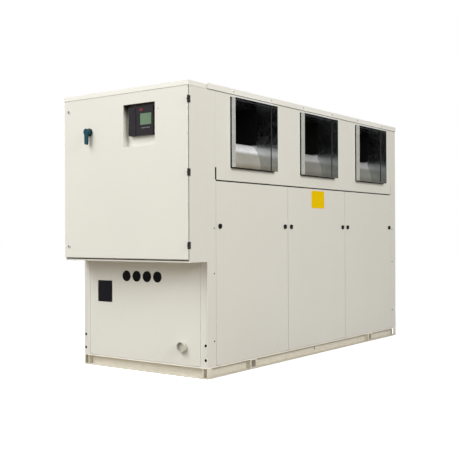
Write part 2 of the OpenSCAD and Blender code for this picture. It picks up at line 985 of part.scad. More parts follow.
module display_housing() {
  color(dark)
    difference() {
      translate([display_face, display_y, display_z])
        rotate([90, 0, 90])
          linear_extrude(display_d)
            rounded_rectangle(display_w, display_h, display_r);
      translate([display_face - eps, groove_y - groove_w / 2, display_z - display_h])
        cube([groove_deep + eps, groove_w, 2 * display_h]);
      translate([display_face - eps, screen_y - screen_w / 2, screen_z - screen_h / 2])
        cube([screen_t + eps, screen_w, screen_h]);
    }
}

module display_screen() {
  color([0.55, 0.66, 0.53])
    translate([display_face + 1, screen_y - screen_w / 2 + fit_gap / 2, screen_z - screen_h / 2 + fit_gap / 2])
      cube([screen_t - 1, screen_w - fit_gap, screen_h - fit_gap]);
}

module isolator_plate() {
  color(dark)
    translate([door_face - isolator_t, isolator_mid_y, isolator_mid_z])
      difference() {
        rod_x(isolator_d, isolator_t);
        translate([-eps, 0, 0])
          rod_x(spindle_d + 2 * spindle_clear, isolator_t + 2 * eps);
      }
}

// The handle's lever points down at rest
module isolator_handle() {
  hub_back = door_face - isolator_t - seat_gap;
  lever_t = 15;
  tip_d = 0.85 * lever_w;
  color([0.07, 0.22, 0.25])
    translate([hub_back, isolator_mid_y, isolator_mid_z])
      union() {
        translate([-handle_out, 0, 0])
          rod_x(handle_d, handle_out);
        translate([-eps, 0, 0])
          rod_x(spindle_d, isolator_t + seat_gap + eps - 1);
        translate([lever_t / 2 - handle_out, 0, 0])
          along_x(lever_t) {
            polygon([
              [-lever_w / 2, 0],
              [-tip_d / 2, tip_d / 2 - lever_l],
              [tip_d / 2, tip_d / 2 - lever_l],
              [lever_w / 2, 0]
            ]);
            translate([0, tip_d / 2 - lever_l])
              circle(d = tip_d);
          }
      }
}

// Black plugs that close the cable entries until a cable goes in
module cable_entries() {
  plug_d = entry_d - 2 * entry_rim - 2 * pipe_fit;
  color(dark)
    for (k = [0:3])
      translate([x0, entry_y + (k - 1.5) * entry_pitch, entry_z])
        union() {
          translate([-entry_rim_t, 0, 0])
            rod_x(entry_d, entry_rim_t);
          translate([-eps, 0, 0])
            rod_x(plug_d, sheet_t + 6 + eps);
        }
}

// The pipe's end seats against the end panel, and a slimmer tail goes through it
module water_pipe() {
  color(steel)
    translate([x0 - pipe_out, y0 + pipe_edge, pipe_z])
      difference() {
        union() {
          rod_x(pipe_d, pipe_out);
          rod_x(pipe_tail_d, pipe_out + pipe_in);
        }
        translate([-eps, 0, 0])
          rod_x(pipe_tail_d - 2 * pipe_wall, pipe_out + pipe_in + 2 * eps);
      }
}

base_rail_front();
base_rail_back();
base_rail_control_end();
base_rail_far_end();
base_cross_rail();
base_corner_plates();
base_pan();
lifting_tubes();
post(0, 0);  // post_front_left
post(1, 0);  // post_front_right
post(0, 1);  // post_back_left
post(1, 1);  // post_back_right
mid_rails();
roof();
fan_panel();
service_panel(1);  // service_panel_front_1
service_panel(2);  // service_panel_front_2
service_panel(3);  // service_panel_front_3
service_panels_back();
panel_knobs();
end_panel_control();
end_panels_far();
coil_frame();
coil_block();
outlet_sleeve(1);  // outlet_sleeve_1
outlet_sleeve(2);  // outlet_sleeve_2
outlet_sleeve(3);  // outlet_sleeve_3
fan_scroll(1);  // fan_scroll_1
fan_scroll(2);  // fan_scroll_2
fan_scroll(3);  // fan_scroll_3
fan_sides(1);  // fan_sides_1
fan_sides(2);  // fan_sides_2
fan_sides(3);  // fan_sides_3
fan_bearings(1);  // fan_bearings_1
fan_bearings(2);  // fan_bearings_2
fan_bearings(3);  // fan_bearings_3
fan_wheel(1);  // fan_wheel_1
fan_wheel(2);  // fan_wheel_2
fan_wheel(3);  // fan_wheel_3
fan_shaft(1);  // fan_shaft_1
fan_shaft(2);  // fan_shaft_2
fan_shaft(3);  // fan_shaft_3
control_box();
control_box_cap();
mounting_plate();
control_door();
door_hinges_fixed();
door_hinges_moving();
door_locks();
display_housing();
display_screen();
isolator_plate();
isolator_handle();
cable_entries();
water_pipe();
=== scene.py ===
"""Looks of the packaged water chiller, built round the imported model, in metres."""

import math

import bmesh
import bpy
from mathutils import Matrix, Vector


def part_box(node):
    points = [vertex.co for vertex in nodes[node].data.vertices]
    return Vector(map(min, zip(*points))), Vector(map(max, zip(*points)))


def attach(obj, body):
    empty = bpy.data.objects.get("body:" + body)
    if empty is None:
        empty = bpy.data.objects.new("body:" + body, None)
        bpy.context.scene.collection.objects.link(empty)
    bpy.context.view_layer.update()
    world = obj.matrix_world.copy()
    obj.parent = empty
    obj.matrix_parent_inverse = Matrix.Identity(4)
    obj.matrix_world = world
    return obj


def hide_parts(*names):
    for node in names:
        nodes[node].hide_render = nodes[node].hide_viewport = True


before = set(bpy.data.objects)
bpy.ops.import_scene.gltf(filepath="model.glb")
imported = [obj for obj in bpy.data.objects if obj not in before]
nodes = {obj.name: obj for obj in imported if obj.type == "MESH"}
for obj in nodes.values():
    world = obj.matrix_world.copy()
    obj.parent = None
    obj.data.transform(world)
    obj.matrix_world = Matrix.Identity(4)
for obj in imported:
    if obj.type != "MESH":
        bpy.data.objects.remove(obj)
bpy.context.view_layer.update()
scene = bpy.context.scene
scene.view_settings.view_transform = "Standard"

X, Y, Z = Vector((1, 0, 0)), Vector((0, 1, 0)), Vector((0, 0, 1))


# Camera, from the fit of the photograph's corners and seams


def make_camera():
    yaw, pitch, roll = math.radians(36.415), math.radians(0.347), math.radians(-0.212)
    forward = Vector((math.cos(pitch) * math.cos(yaw), math.cos(pitch) * math.sin(yaw), math.sin(pitch)))
    right = Vector((math.sin(yaw), -math.cos(yaw), 0))
    up = right.cross(forward)
    right, up = math.cos(roll) * right + math.sin(roll) * up, math.cos(roll) * up - math.sin(roll) * right
    data = bpy.data.cameras.new("camera")
    data.sensor_width = 36
    data.lens = 63.79
    data.clip_end = 200
    camera = bpy.data.objects.new("camera", data)
    turn = Matrix((right, up, -forward)).transposed().to_4x4()
    camera.matrix_world = Matrix.Translation((-5.9557, -4.0680, 1.0100)) @ turn
    scene.collection.objects.link(camera)
    scene.camera = camera


make_camera()


# Materials


class Mat:
    """A Principled material with small helpers for its nodes."""

    def __init__(self, name, **values):
        self.mat = bpy.data.materials.new(name)
        self.mat.use_nodes = True
        self.tree = self.mat.node_tree
        self.tree.nodes.clear()
        out = self.node("ShaderNodeOutputMaterial")
        self.bsdf = self.node("ShaderNodeBsdfPrincipled")
        self.tree.links.new(self.bsdf.outputs[0], out.inputs[0])
        for key, value in values.items():
            self.bsdf.inputs[key.replace("_", " ")].default_value = value
        self.co = self.node("ShaderNodeTexCoord").outputs["Object"]

    def node(self, kind, **props):
        made = self.tree.nodes.new(kind)
        for key, value in props.items():
            setattr(made, key, value)
        return made

    def put(self, value, socket):
        if isinstance(value, bpy.types.NodeSocket):
            self.tree.links.new(value, socket)
        else:
            socket.default_value = value

    def set(self, name, value):
        self.put(value, self.bsdf.inputs[name])

    def stretched(self, x, y, z):
        made = self.node("ShaderNodeMapping")
        made.inputs["Scale"].default_value = (x, y, z)
        self.put(self.co, made.inputs["Vector"])
        return made.outputs[0]

    def noise(self, scale, detail=2.0, rough=0.5, co=None):
        made = self.node("ShaderNodeTexNoise")
        made.inputs["Scale"].default_value = scale
        made.inputs["Detail"].default_value = detail
        made.inputs["Roughness"].default_value = rough
        self.put(co or self.co, made.inputs["Vector"])
        return made.outputs["Fac"]

    def cells(self, scale, co=None):
        made = self.node("ShaderNodeTexVoronoi")
        made.inputs["Scale"].default_value = scale
        self.put(co or self.co, made.inputs["Vector"])
        split = self.node("ShaderNodeSeparateColor")
        self.put(made.outputs["Color"], split.inputs[0])
        return split.outputs[0]

    def along(self, axis):
        made = self.node("ShaderNodeSeparateXYZ")
        self.put(self.co, made.inputs[0])
        return made.outputs["XYZ".index(axis)]

    def span(self, value, low, high, to_low=0.0, to_high=1.0, smooth=False):
        made = self.node("ShaderNodeMapRange")
        made.interpolation_type = "SMOOTHSTEP" if smooth else "LINEAR"
        for key, v in zip(("Value", "From Min", "From Max", "To Min", "To Max"), (value, low, high, to_low, to_high)):
            self.put(v, made.inputs[key])
        return made.outputs[0]

    def math(self, op, a, b):
        made = self.node("ShaderNodeMath", operation=op)
        self.put(a, made.inputs[0])
        self.put(b, made.inputs[1])
        return made.outputs[0]

    def mix(self, fac, a, b):
        made = self.node("ShaderNodeMix", data_type="RGBA")
        self.put(fac, made.inputs[0])
        for value, socket in ((a, made.inputs[6]), (b, made.inputs[7])):
            self.put(value if isinstance(value, bpy.types.NodeSocket) else (*value, 1), socket)
        return made.outputs[2]

    def bump(self, height, strength, distance, below=None):
        made = self.node("ShaderNodeBump")
        made.inputs["Strength"].default_value = strength
        made.inputs["Distance"].default_value = distance
        self.put(height, made.inputs["Height"])
        if below:
            self.put(below, made.inputs["Normal"])
        return made.outputs[0]


def shade(color, k):
    return tuple(c * k for c in color)


def paint(name, color, rough, dust, dust_top=0.35, shade_recess=None, edge=None):
    """Powder coat: an orange-peel surface with faint clouds, and dust towards the floor.

    shade_recess = (low, high) corners of a recess that gets painted shade, darker towards its ceiling.
    edge = (z, colour) of a painted highlight: the colour turns lighter above that z, for the light caught on an edge.
    """
    m = Mat(name, IOR=1.45)
    clouds = m.noise(1.3, 3)
    base = m.mix(clouds, shade(color, 0.965), shade(color, 1.03))
    fine = m.noise(26, 4, 0.6)
    base = m.mix(m.span(fine, 0.35, 0.75, 0, 0.10), base, shade(color, 0.90))
    low = m.span(m.along("Z"), 0.0, dust_top, dust, 0.0, True)
    base = m.mix(m.math("MULTIPLY", low, fine), base, (0.40, 0.35, 0.27))
    if edge:
        # Painted highlight: a lighter colour above the given height.
        base = m.mix(m.span(m.along("Z"), edge[0], edge[0] + 0.001), base, edge[1])
    if shade_recess:
        (ax, ay, az), (bx, by, bz) = shade_recess
        # Painted shade: the colour darkens towards the recess's ceiling and inwards from its mouth.
        dark = m.math("MULTIPLY", m.span(m.along("Z"), az, bz, 0, 1, True), m.span(m.along("X"), ax, ax + 0.012))
        for axis, a, b in (("X", ax, bx), ("Y", ay, by), ("Z", az, bz)):
            dark = m.math("MULTIPLY", dark, m.math("GREATER_THAN", m.along(axis), a))
            dark = m.math("MULTIPLY", dark, m.math("LESS_THAN", m.along(axis), b))
        base = m.mix(dark, base, (0.030, 0.022, 0.018))
    m.set("Base Color", base)
    m.set("Roughness", m.span(fine, 0.3, 0.7, rough - 0.06, rough + 0.08))
    wave = m.bump(m.noise(2.4, 1), 0.25, 0.004)
    m.set("Normal", m.bump(m.noise(420, 2), 0.05, 0.0006, wave))
    return m.mat


def galvanised(name, low, high, rough, inside=None, under=None, metallic=1.0, gloss=0.5):
    """Galvanised sheet with its spangle.

    inside = (y, z) darkens what lies behind y or above z, where no light gets.
    under = z below which the sheet is painted near black, as painted shade on an underside.
    """
    m = Mat(name, Metallic=metallic, Specular_IOR_Level=gloss)
    spangle = m.cells(48)
    small = m.cells(130)
    grain = m.math("ADD", m.math("MULTIPLY", spangle, 0.7), m.math("MULTIPLY", small, 0.3))
    base = m.mix(grain, low, high)
    streak = m.noise(5, 4, 0.6, m.stretched(1, 1, 6))
    base = m.mix(m.span(streak, 0.4, 0.75, 0, 0.25), base, shade(low, 0.80))
    roughness = m.span(grain, 0, 1, rough - 0.04, rough + 0.06)
    if inside:
        behind = m.span(m.along("Y"), inside[0] - 0.012, inside[0] + 0.012, 0, 1, True)
        above = m.span(m.along("Z"), inside[1] - 0.010, inside[1] + 0.014, 0, 1, True)
        depth = m.math("MAXIMUM", behind, above)
        base = m.mix(depth, base, (0.006, 0.006, 0.006))
        roughness = m.math("ADD", roughness, m.math("MULTIPLY", depth, 0.4))
    if under:
        # Painted shade: near black below the given height.
        base = m.mix(m.span(m.along("Z"), under - 0.0004, under, 0, 1), (0.012, 0.012, 0.011), base)
    m.set("Base Color", base)
    m.set("Roughness", roughness)
    m.set("Normal", m.bump(m.noise(7, 2), 0.10, 0.004, m.bump(small, 0.02, 0.0004)))
    return m.mat


def cutoff_reflection_sheet(name, crest, middle, foot, rough):
    """Sheet over a fan's cut-off, its colour bands a painted reflection: a near white painted sky reflection at the
    crest, a brown painted ground reflection at the bottom, and painted shade over the farther fans.
    """
    m = Mat(name, Metallic=0.05)
    z = m.along("Z")
    # Painted reflection of the ground: brown towards the bottom.
    base = m.mix(m.span(z, 1.505, 1.565, 0, 1, True), foot, middle)
    # Painted reflection of the sky: near white at the crest.
    base = m.mix(m.span(z, 1.618, 1.650, 0, 1, True), base, crest)
    # Painted shade: darker over the farther fans.
    base = m.mix(m.span(m.along("X"), -0.6, -0.4, 0, 0.52), base, (0.03, 0.04, 0.03))
    grain = m.cells(60)
    base = m.mix(m.span(grain, 0, 1, 0, 0.16), base, shade(middle, 0.62))
    m.set("Base Color", base)
    m.set("Roughness", m.span(grain, 0, 1, rough - 0.03, rough + 0.05))
    m.set("Normal", m.bump(m.noise(6, 2, 0.5, m.stretched(0.4, 1, 1)), 0.10, 0.004))
    return m.mat


def moulded(name, color, rough, grain=700, spread=0.5, gloss=0.5):
    """Moulded plastic or rubber with a fine grain and slightly uneven gloss."""
    m = Mat(name, Specular_IOR_Level=gloss)
    worn = m.noise(30, 4, 0.6)
    m.set("Base Color", m.mix(worn, shade(color, 1 - 0.3 * spread), shade(color, 1 + 0.6 * spread)))
    m.set("Roughness", m.span(worn, 0.3, 0.7, rough - 0.07, rough + 0.1))
    m.set("Normal", m.bump(m.noise(grain, 2), 0.10, 0.0005))
    return m.mat


def metal(name, color, rough, brushed=1.0):
    """Plain metal with fine drawn lines."""
    m = Mat(name, Metallic=1.0)
    lines = m.noise(90, 3, 0.6, m.stretched(1, 1, 12 * brushed))
    m.set("Base Color", m.mix(lines, shade(color, 0.8), shade(color, 1.15)))
    m.set("Roughness", m.span(lines, 0.3, 0.7, rough - 0.06, rough + 0.08))
    m.set("Normal", m.bump(lines, 0.05, 0.0004))
    return m.mat


def cast(name, color):
    """Painted casting with a coarse skin."""
    m = Mat(name)
    skin = m.noise(160, 4, 0.6)
    m.set("Base Color", m.mix(skin, shade(color, 0.6), shade(color, 1.5)))
    m.set("Roughness", m.span(skin, 0.3, 0.7, 0.5, 0.75))
    m.set("Normal", m.bump(skin, 0.35, 0.0012))
    return m.mat


def lcd(name):
    """The display's grey-green cell, with a faint dot grid."""
    m = Mat(name, IOR=1.5)
    glow = m.noise(14, 1)
    grid = m.noise(900, 0)
    base = m.mix(glow, (0.115, 0.205, 0.117), (0.152, 0.260, 0.152))
    m.set("Base Color", m.mix(m.span(grid, 0.5, 0.7, 0, 0.25), base, (0.10, 0.17, 0.10)))
    m.set("Roughness", 0.16)
    m.set("Normal", m.bump(grid, 0.02, 0.0003))
    return m.mat


def printed(name, color, rough=0.4, gloss=0.5):
    """A plain coloured plate."""
    m = Mat(name, Specular_IOR_Level=gloss)
    worn = m.noise(40, 4, 0.6)
    m.set("Base Color", m.mix(worn, shade(color, 0.93), shade(color, 1.05)))
    m.set("Roughness", m.span(worn, 0.3, 0.7, rough - 0.08, rough + 0.08))
    m.set("Normal", m.bump(m.noise(240, 2), 0.04, 0.0004))
    return m.mat


CREAM = (0.770, 0.768, 0.705)
# Corners of the display's recess in the door; the door's paint below carries painted shade inside it, darkest at its
# ceiling.
POCKET_SHADE = ((-1.7270, -0.3125, 1.820), (-1.6775, -0.0115, 1.9345))
cream = paint("cream_paint", CREAM, 0.42, 0.04)
door_paint_shaded_recess = paint("door_paint_shaded_recess", CREAM, 0.42, 0.04, shade_recess=POCKET_SHADE)
# A lighter copy of the cream for the cap, roof and hem: painted light for the strong light falling on them from
# above.
cap_paint_lit = paint("cap_paint_lit", (0.860, 0.856, 0.800), 0.40, 0.0)
# Skid paint: dust towards the floor, and a painted highlight along the top flange's edge where it catches the light.
skid_paint = paint("skid_paint", (0.800, 0.770, 0.665), 0.46, 0.50, 0.073, edge=(0.0712, (0.980, 0.950, 0.870)))
# A darker copy of the cream for the water pipe and the plug in its mouth: painted shade that keeps the pipe's lit
# wall from standing out brighter than the panel.
pipe_paint_shaded = paint("pipe_paint_shaded", (0.560, 0.550, 0.480), 0.50, 0.10)
# The sleeves' galvanised sheet, with painted shade on the underside and front bottom edge below the floor's top.
zinc_sleeve = galvanised("galvanised", (0.54, 0.56, 0.56), (0.66, 0.68, 0.68), 0.20, under=1.4917)
SHADE_AT = (-0.330, 1.700)
zinc_inside = galvanised(
    "galvanised_inside", (0.70, 0.72, 0.735), (0.78, 0.80, 0.815), 0.28, SHADE_AT, metallic=0.35, gloss=0.12
)
# Cut-off sheet whose colours are painted reflections of sky and ground, with painted shade on the farther fans.
cutoff_painted_reflections = cutoff_reflection_sheet("galvanised_cutoff", (0.96, 0.96, 0.99), (0.36, 0.35, 0.30), (0.19, 0.155, 0.085), 0.16)
zinc_dull = galvanised("galvanised_dull", (0.42, 0.43, 0.44), (0.58, 0.59, 0.60), 0.40)
wheel_metal = galvanised("wheel_metal", (0.52, 0.53, 0.53), (0.66, 0.67, 0.67), 0.34, metallic=0.40)
# Near black, as painted shade: the lap seam inside each sleeve stands for the shadow gap there.
lap_painted_shade = metal("lap_painted_shade", (0.10, 0.10, 0.10), 0.40)
shaft_metal = metal("shaft_steel", (0.50, 0.51, 0.53), 0.25)
bearing_iron = cast("bearing_iron", (0.030, 0.030, 0.032))
fin_metal = metal("fin_aluminium", (0.62, 0.63, 0.64), 0.32, 0.2)
coil_core = metal("coil_core", (0.20, 0.20, 0.21), 0.5, 0.2)
black_plastic = moulded("black_plastic", (0.012, 0.012, 0.013), 0.42, gloss=0.16)
black_metal = moulded("black_metal", (0.012, 0.012, 0.012), 0.38, 300, gloss=0.16)
black_rubber = moulded("black_rubber", (0.005, 0.004, 0.004), 0.60, 500, gloss=0.06)
lock_metal = metal("lock_metal", (0.36, 0.36, 0.36), 0.28, 0.2)
display_plastic = moulded("display_plastic", (0.013, 0.011, 0.014), 0.42, 900, gloss=0.16)
handle_plastic = moulded("handle_plastic", (0.004, 0.050, 0.068), 0.32, 800, 0.3, 0.22)
screen_face = lcd("display_lcd")
yellow_plate = printed("yellow_plate", (0.930, 0.630, 0.001), 0.5, 0.02)
black_plate = printed("black_plate", (0.005, 0.004, 0.006), 0.45, 0.06)
red_lens = printed("red_lens", (0.200, 0.022, 0.026), 0.25, 0.3)
grey_plastic = moulded("grey_plastic", (0.33, 0.34, 0.35), 0.45, 700, 0.15)
pale_plastic = moulded("pale_plastic", (0.58, 0.58, 0.55), 0.42, 700, 0.12)
key_plastic = moulded("key_plastic", (0.16, 0.155, 0.155), 0.45, 900, 0.2)
screw_metal = metal("screw_zinc", (0.42, 0.42, 0.41), 0.30, 0.2)
dark_screw = metal("screw_dark", (0.07, 0.07, 0.07), 0.40, 0.2)

NODE_MATS = {
    "base_": skid_paint,
    "lifting_tubes": skid_paint,
    "post_": cream,
    # Black, as painted shade for the dark seam between the upper and lower panels, where the rails show through.
    "mid_rails": black_rubber,
    "base_pan": zinc_dull,
    "roof": cap_paint_lit,
    "fan_panel": cream,
    "service_panel": cream,
    "end_panel": cream,
    "panel_knobs": black_plastic,
    "coil_frame": zinc_dull,
    "coil_block": coil_core,
    "outlet_sleeve": zinc_sleeve,
    "fan_scroll": zinc_inside,
    "fan_sides": zinc_inside,
    "fan_bearings": bearing_iron,
    "fan_wheel": wheel_metal,
    "fan_shaft": shaft_metal,
    "control_box": cream,
    "control_box_cap": cap_paint_lit,
    "mounting_plate": zinc_dull,
    "control_door": door_paint_shaded_recess,
    "door_hinges": black_metal,
    "door_locks": lock_metal,
    "display_housing": display_plastic,
    "display_screen": screen_face,
    "isolator_plate": black_plastic,
    "isolator_handle": handle_plastic,
    "cable_entries": black_rubber,
    "water_pipe": pipe_paint_shaded,
}
for key, mat in sorted(NODE_MATS.items(), key=lambda kv: len(kv[0])):
    for name, obj in nodes.items():
        if name.startswith(key):
            obj.data.materials.clear()
            obj.data.materials.append(mat)


def round_edges(prefix, width, segments=2, angle=40):
    """Rolled edges on folded sheet and moulded solids, as a modifier over the unchanged solid."""
    for name, obj in nodes.items():
        if name.startswith(prefix):
            weld = obj.modifiers.new("weld", "WELD")
            weld.merge_threshold = 1e-5
            bevel = obj.modifiers.new("edges", "BEVEL")
            bevel.width = width
            bevel.segments = segments
            bevel.limit_method = "ANGLE"
            bevel.angle_limit = math.radians(angle)
            bevel.use_clamp_overlap = True


for prefix in ("roof", "service_panel", "end_panel", "control_door", "control_box", "post_", "fan_panel"):
    round_edges(prefix, 0.0009)
for prefix in ("panel_knobs", "display_housing", "isolator_", "water_pipe"):
    round_edges(prefix, 0.0012)
for prefix in ("base_", "lifting_tubes"):
    round_edges(prefix, 0.0025, 3)
for prefix in ("door_hinges", "fan_bearings"):
    round_edges(prefix, 0.0006)


# Mesh helpers


def piece(name, bm, body, mat, sharp=35):
    me = bpy.data.meshes.new(name)
    bmesh.ops.recalc_face_normals(bm, faces=bm.faces[:])
    bm.to_mesh(me)
    bm.free()
    me.materials.append(mat)
    me.polygons.foreach_set("use_smooth", [True] * len(me.polygons))
    me.set_sharp_from_angle(angle=math.radians(sharp))
    obj = bpy.data.objects.new(name, me)
    scene.collection.objects.link(obj)
    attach(obj, body)
    return obj


def place(origin, normal, up=Z):
    """A matrix whose local Z is normal and local Y is near up."""
    n = Vector(normal).normalized()
    x = Vector(up).cross(n).normalized()
    y = n.cross(x)
    return Matrix.Translation(origin) @ Matrix((x, y, n)).transposed().to_4x4()


def add_box(bm, low, high, bevel=0.001, segments=2, matrix=None):
    low, high = Vector(low), Vector(high)
    size = high - low
    m = Matrix.Translation((low + high) / 2) @ Matrix.Diagonal((*size, 1))
    made = bmesh.ops.create_cube(bm, size=1, matrix=m)
    verts = made["verts"]
    if bevel:
        edges = list({e for v in verts for e in v.link_edges})
        result = bmesh.ops.bevel(
            bm, geom=edges, offset=min(bevel, 0.45 * min(size)), segments=segments, profile=0.5, affect="EDGES"
        )
        verts = result["verts"]
    if matrix is not None:
        own = set(verts)
        moved = {v for f in bm.faces if f.verts[0] in own for v in f.verts}
        bmesh.ops.transform(bm, matrix=matrix, verts=list(moved))
    return verts


def add_lathe(bm, profile, matrix, segments=24):
    """Turns (radius, height) points about the matrix's Z axis. A radius of 0 closes an end."""
    rings = []
    for r, h in profile:
        if r == 0:
            rings.append([bm.verts.new(matrix @ Vector((0, 0, h)))])
        else:
            rings.append(
                [
                    bm.verts.new(matrix @ Vector((r * math.cos(a), r * math.sin(a), h)))
                    for a in (2 * math.pi * k / segments for k in range(segments))
                ]
            )
    for a, b in zip(rings, rings[1:]):
        for k in range(segments):
            n = (k + 1) % segments
            if len(a) == 1:
                bm.faces.new((a[0], b[k], b[n]))
            elif len(b) == 1:
                bm.faces.new((a[k], b[0], a[n]))
            else:
                bm.faces.new((a[k], b[k], b[n], a[n]))
    return rings


def rounded_outline(w, h, r, steps=6):
    points = []
    ax, ay = w / 2 - r, h / 2 - r
    for cx, cy, start in ((ax, ay, 0), (-ax, ay, 90), (-ax, -ay, 180), (ax, -ay, 270)):
        for k in range(steps + 1):
            a = math.radians(start + 90 * k / steps)
            points.append((cx + r * math.cos(a), cy + r * math.sin(a)))
    return points


def add_plate(bm, outline, thick, matrix, bevel=0.0):
    """An outline in local X-Y, raised along local Z, with its top edge bevelled."""
    levels = [(0.0, 0.0), (thick - bevel, 0.0), (thick, bevel)] if bevel else [(0.0, 0.0), (thick, 0.0)]
    cx = sum(p[0] for p in outline) / len(outline)
    cy = sum(p[1] for p in outline) / len(outline)
    rings = []
    for h, inset in levels:
        ring = []
        for x, y in outline:
            d = Vector((x - cx, y - cy))
            s = max(d.length - inset, 0) / d.length if d.length else 0
            ring.append(bm.verts.new(matrix @ Vector((cx + d.x * s, cy + d.y * s, h))))
        rings.append(ring)
    count = len(outline)
    for a, b in zip(rings, rings[1:]):
        for k in range(count):
            n = (k + 1) % count
            bm.faces.new((a[k], a[n], b[n], b[k]))
    bm.faces.new(rings[-1])
    bm.faces.new(list(reversed(rings[0])))


def add_rim(bm, w, h, r, profile, matrix, steps=4):
    """A closed section of (offset, height) points swept round a rounded rectangle."""
    rings = []
    for off, height in profile:
        outline = rounded_outline(w + 2 * off, h + 2 * off, max(r + off, 0.0003), steps)
        rings.append([bm.verts.new(matrix @ Vector((x, y, height))) for x, y in outline])
    count = len(rings[0])
    for a, b in zip(rings, rings[1:] + rings[:1]):
        for k in range(count):
            n = (k + 1) % count
            bm.faces.new((a[k], a[n], b[n], b[k]))


def add_screw(bm, origin, normal, d=0.013):
    """A pan head screw with a socket."""
    r, h = d / 2, d * 0.36
    profile = [(r, -0.0004), (r, 0.3 * h), (0.93 * r, 0.62 * h), (0.72 * r, 0.88 * h), (0.5 * r, h), (0.44 * r, h)]
    profile += [(0.38 * r, 0.45 * h), (0, 0.4 * h)]
    add_lathe(bm, profile, place(origin, normal, Z if abs(Vector(normal).z) < 0.9 else X), 12)


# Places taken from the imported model

door_lo, door_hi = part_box("control_door")
box_lo, box_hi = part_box("control_box")
roof_lo, roof_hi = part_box("roof")
post_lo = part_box("post_front_left")[0]
far_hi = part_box("post_front_right")[1]
back_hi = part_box("post_back_left")[1]
x0, x1 = post_lo.x, far_hi.x
y0, y1 = post_lo.y, back_hi.y
roof_z = roof_hi.z

# Screws

ROOF_SCREW_X = (-1.212, -0.715, -0.240, 0.240, 0.715, 1.212)
ROOF_SCREW_Y = (-0.46, 0.0, 0.46)
ROOF_SCREW_Z = roof_z - 0.021
POST_SCREW_Z = (1.050, 0.732, 0.258)

bm = bmesh.new()
for x in ROOF_SCREW_X:
    for y, n in ((roof_lo.y, -Y), (roof_hi.y, Y)):
        add_screw(bm, (x, y, ROOF_SCREW_Z), n)
for y in ROOF_SCREW_Y:
    add_screw(bm, (roof_hi.x, y, ROOF_SCREW_Z), X)
piece("roof_screws", bm, "cabinet", screw_metal)

bm = bmesh.new()
for x in (x0 + 0.079, x1 - 0.079):
    for z in POST_SCREW_Z:
        for y, n in ((y0, -Y), (y1, Y)):
            add_screw(bm, (x, y, z), n, 0.011)
for z in POST_SCREW_Z:
    for y in (y0 + 0.044, y1 - 0.044):
        add_screw(bm, (x1, y, z), X, 0.011)
piece("post_screws", bm, "cabinet", dark_screw)

bm = bmesh.new()
add_screw(bm, (door_lo.x, -0.343, 1.885), -X, 0.010)
piece("door_screw", bm, "door", screw_metal)

# Black plugs in the bolt holes at the posts' feet

POST_HOLE_Z = (0.132, 0.234)
STEM_R, HEAD_R = 0.0064, 0.0102

bm = bmesh.new()
plug = [(0, -0.006), (STEM_R, -0.006), (STEM_R, 0.0001), (HEAD_R, 0.0001), (HEAD_R, 0.0008)]
plug += [(HEAD_R - 0.001, 0.0016), (0, 0.0020)]
for x, n in ((x0, -X), (x1, X)):
    for y in (y0 + 0.016, y1 - 0.016):
        for z in POST_HOLE_Z:
            add_lathe(bm, plug, place((x, y, z), n), 20)
piece("post_plugs", bm, "cabinet", black_rubber)

# Cap's hem over the door's upper gap, and a dark strip under the roof's turned-down edge, painted shade for the
# shadow line there

cap_lo, cap_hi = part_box("control_box_cap")
bm = bmesh.new()
hem_low, hem_high = cap_lo.z - 0.0054, cap_lo.z + 0.0005
add_box(bm, (cap_lo.x, cap_lo.y, hem_low), (cap_lo.x + 0.0014, cap_hi.y, hem_high), 0.0004, 1)
for y in (cap_lo.y, cap_hi.y - 0.0014):
    add_box(bm, (cap_lo.x + 0.0015, y, hem_low), (box_hi.x - 0.004, y + 0.0014, hem_high), 0.0004, 1)
piece("cap_hem", bm, "cabinet", cap_paint_lit)
# Painted shade under the roof's edge: a black strip in the shadow line.
bm = bmesh.new()
for y_a, y_b in ((roof_lo.y + 0.0006, y0 - 0.0001), (y1 + 0.0001, roof_hi.y - 0.0006)):
    add_box(bm, (x0 + 0.002, y_a, roof_lo.z - 0.0022), (x1 - 0.002, y_b, roof_lo.z + 0.0005), 0.0003, 1)
piece("roof_shade_strip", bm, "cabinet", black_rubber)

# Black strips as painted shade: over the notch at the fan panel's near corner, and under the door's lower edge, where
# shadow lines fall

bm = bmesh.new()
fan_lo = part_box("fan_panel")[0]
shade_strip_low = (fan_lo.x - 0.0095, y0 - 0.0009, fan_lo.z)
shade_strip_high = (fan_lo.x + 0.0058, y0 - 0.0001, fan_lo.z + 0.087)
add_box(bm, shade_strip_low, shade_strip_high, 0.0002, 1)
shade_strip_low = (box_lo.x - 0.003, door_lo.y + 0.004, door_lo.z - 0.0104)
shade_strip_high = (box_lo.x - 0.0001, door_hi.y - 0.004, door_lo.z - 0.0052)
add_box(bm, shade_strip_low, shade_strip_high, 0.0006, 1)
piece("corner_and_sill_shade_strips", bm, "cabinet", black_rubber)

# Pale seals in the gaps beside the end panel

bm = bmesh.new()
end_lo, end_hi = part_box("end_panel_control")
for side in (-1, 1):
    y_a, y_b = sorted((side * (end_hi.y + 0.0002), side * (end_hi.y + 0.0038)))
    add_box(bm, (end_lo.x + 0.0022, y_a, end_lo.z + 0.002), (end_lo.x + 0.0040, y_b, end_hi.z), 0.0003, 1)
piece("end_panel_seals", bm, "cabinet", cream)

# Blank plates

bm = bmesh.new()
add_plate(bm, rounded_outline(0.210, 0.145, 0.004), 0.0012, place((0.0, y0, 1.2960), -Y), 0.0004)
piece("blank_yellow_plate", bm, "cabinet", yellow_plate)

bm = bmesh.new()
add_plate(bm, rounded_outline(0.150, 0.163, 0.004), 0.0012, place((x0, 0.383, 0.5775), -X), 0.0004)
piece("blank_black_plate", bm, "cabinet", black_plate)

# Cable entries: black grommets with stepped membranes

